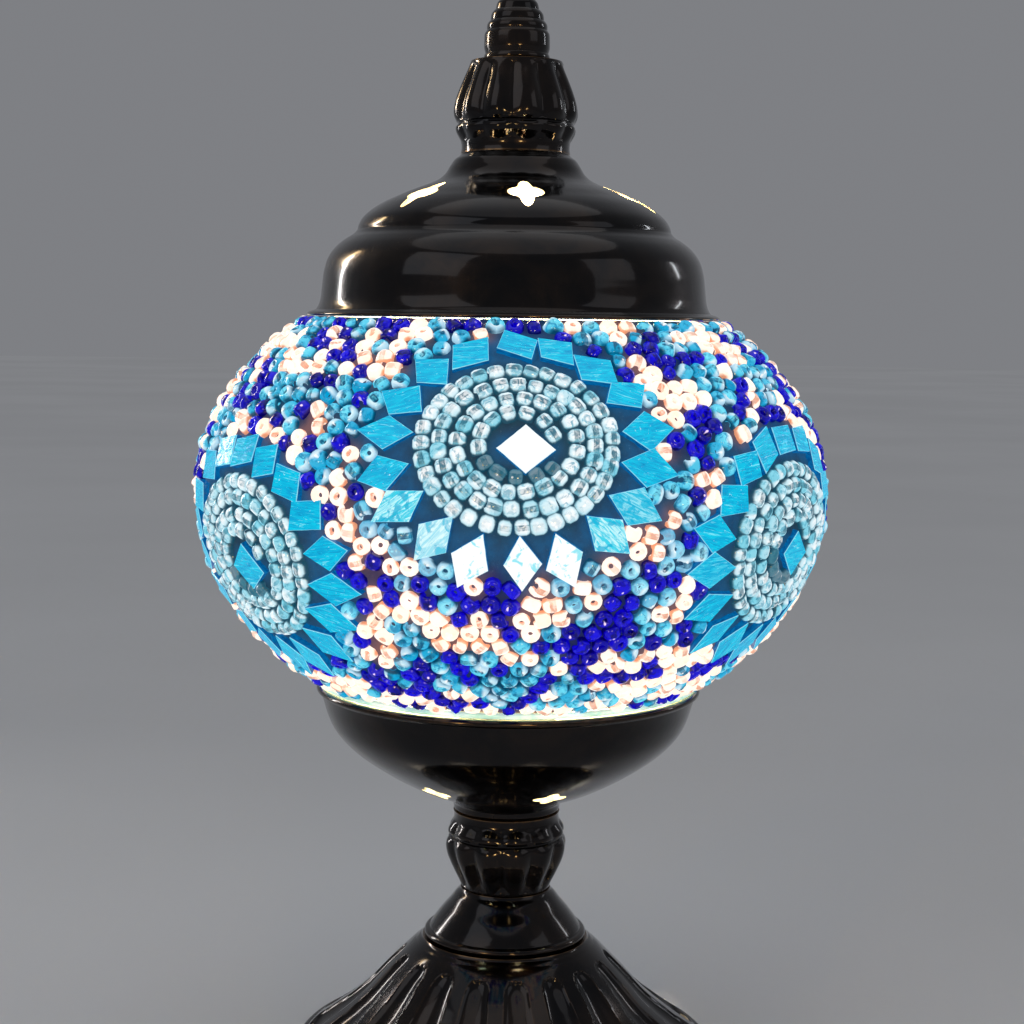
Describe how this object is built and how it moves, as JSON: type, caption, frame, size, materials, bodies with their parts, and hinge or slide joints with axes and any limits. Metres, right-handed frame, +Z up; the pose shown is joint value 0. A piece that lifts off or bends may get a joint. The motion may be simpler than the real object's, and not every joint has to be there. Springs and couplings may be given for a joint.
{
  "type": "mosaic glass table lamp",
  "caption": "Table lamp with an oval glass globe covered in glass beads and cut tiles, between a pierced bronze cup and cap, on a turned stem and fluted foot.",
  "frame": {"origin": "centre of the underside of the felt pad, on the lamp's axis", "axes": "+Z up along the stem; -Y is the front of the lamp; the cable inlet is at the back, +Y"},
  "size_m": [0.1728, 0.1728, 0.306],
  "materials": {
    "aged_bronze": "cast and spun brass with a glossy near-black antique bronze patina, warmer where it is rubbed",
    "zinc_plated_steel": "zinc plated, satin",
    "contact_brass": "bright stamped brass",
    "felt": "dense dark green felt",
    "black_rubber": "matt moulded rubber",
    "clear_silicone": "milky translucent silicone",
    "terminal_plastic": "cream moulded polyamide",
    "black_phenolic": "black phenolic moulding, semi-matt",
    "wire_brown": "brown PVC insulation",
    "wire_blue": "blue PVC insulation",
    "clear_glass": "clear blown glass",
    "grout": "fine cement grout, teal-grey around blue glass and brown-mauve around cream glass",
    "black_glass": "black glass insulator",
    "filament_phosphor": "yellow phosphor over LED sticks",
    "bead_cream": "opaque cream seed bead glass, peach at the edges",
    "bead_aqua": "transparent aqua seed bead glass",
    "bead_cobalt": "deep cobalt seed bead glass",
    "bead_clear": "clear seed bead glass",
    "tile_cyan": "wispy streaked cyan cut glass"
  },
  "bodies": {
    "root": {"felt_pad": "felt", "base_plate": "zinc_plated_steel", "base_foot": "aged_bronze", "cable_grommet": "black_rubber", "terminal_block": "terminal_plastic", "terminal_screw_1": "zinc_plated_steel", "terminal_screw_2": "zinc_plated_steel", "terminal_screw_3": "zinc_plated_steel", "terminal_screw_4": "zinc_plated_steel", "base_washer": "zinc_plated_steel", "base_nut": "zinc_plated_steel", "threaded_tube": "zinc_plated_steel", "stem_collar": "aged_bronze", "stem_knop": "aged_bronze", "lower_cup": "aged_bronze", "rim_gasket": "clear_silicone", "cup_washer": "zinc_plated_steel", "cup_nut": "zinc_plated_steel", "holder_core": "black_phenolic", "holder_sleeve": "black_phenolic", "holder_shell": "contact_brass", "centre_contact": "contact_brass", "side_contact": "contact_brass", "wire_live": "wire_brown", "wire_neutral": "wire_blue"},
    "globe": {"glass_globe": "clear_glass", "mosaic_skin": "grout"},
    "cap": {"cap_dome": "aged_bronze", "cap_washer": "zinc_plated_steel", "cap_nut": "zinc_plated_steel", "cap_stud": "zinc_plated_steel", "upper_knop": "aged_bronze", "finial": "aged_bronze"},
    "bulb_tip": {"bulb_contact_tip": "zinc_plated_steel"},
    "bulb": {"bulb_insulator": "black_glass", "bulb_screw_shell": "contact_brass", "bulb_envelope": "clear_glass", "bulb_stem": "clear_glass", "bulb_filament_1": "filament_phosphor", "bulb_filament_2": "filament_phosphor", "bulb_filament_3": "filament_phosphor", "bulb_filament_4": "filament_phosphor"}
  },
  "joints": [
    {"name": "globe_lift", "type": "slide", "parent": "root", "child": "globe", "axis": [0, 0, 1], "range_m": [0, 0.12]},
    {"name": "cap_lift", "type": "slide", "parent": "globe", "child": "cap", "axis": [0, 0, 1], "range_m": [0, 0.06]},
    {"name": "bulb_lift", "type": "slide", "parent": "root", "child": "bulb_tip", "axis": [0, 0, 1], "range_m": [0, 0.0114]},
    {"name": "bulb_turn", "type": "hinge", "parent": "bulb_tip", "child": "bulb", "pos_m": [0, 0, 0.117], "axis": [0, 0, 1], "range_deg": [0, 1440]}
  ],
  "couplings": [
    {"joint": "bulb_lift", "follows": "bulb_turn", "m_per_rad": 0.00044914}
  ]
}
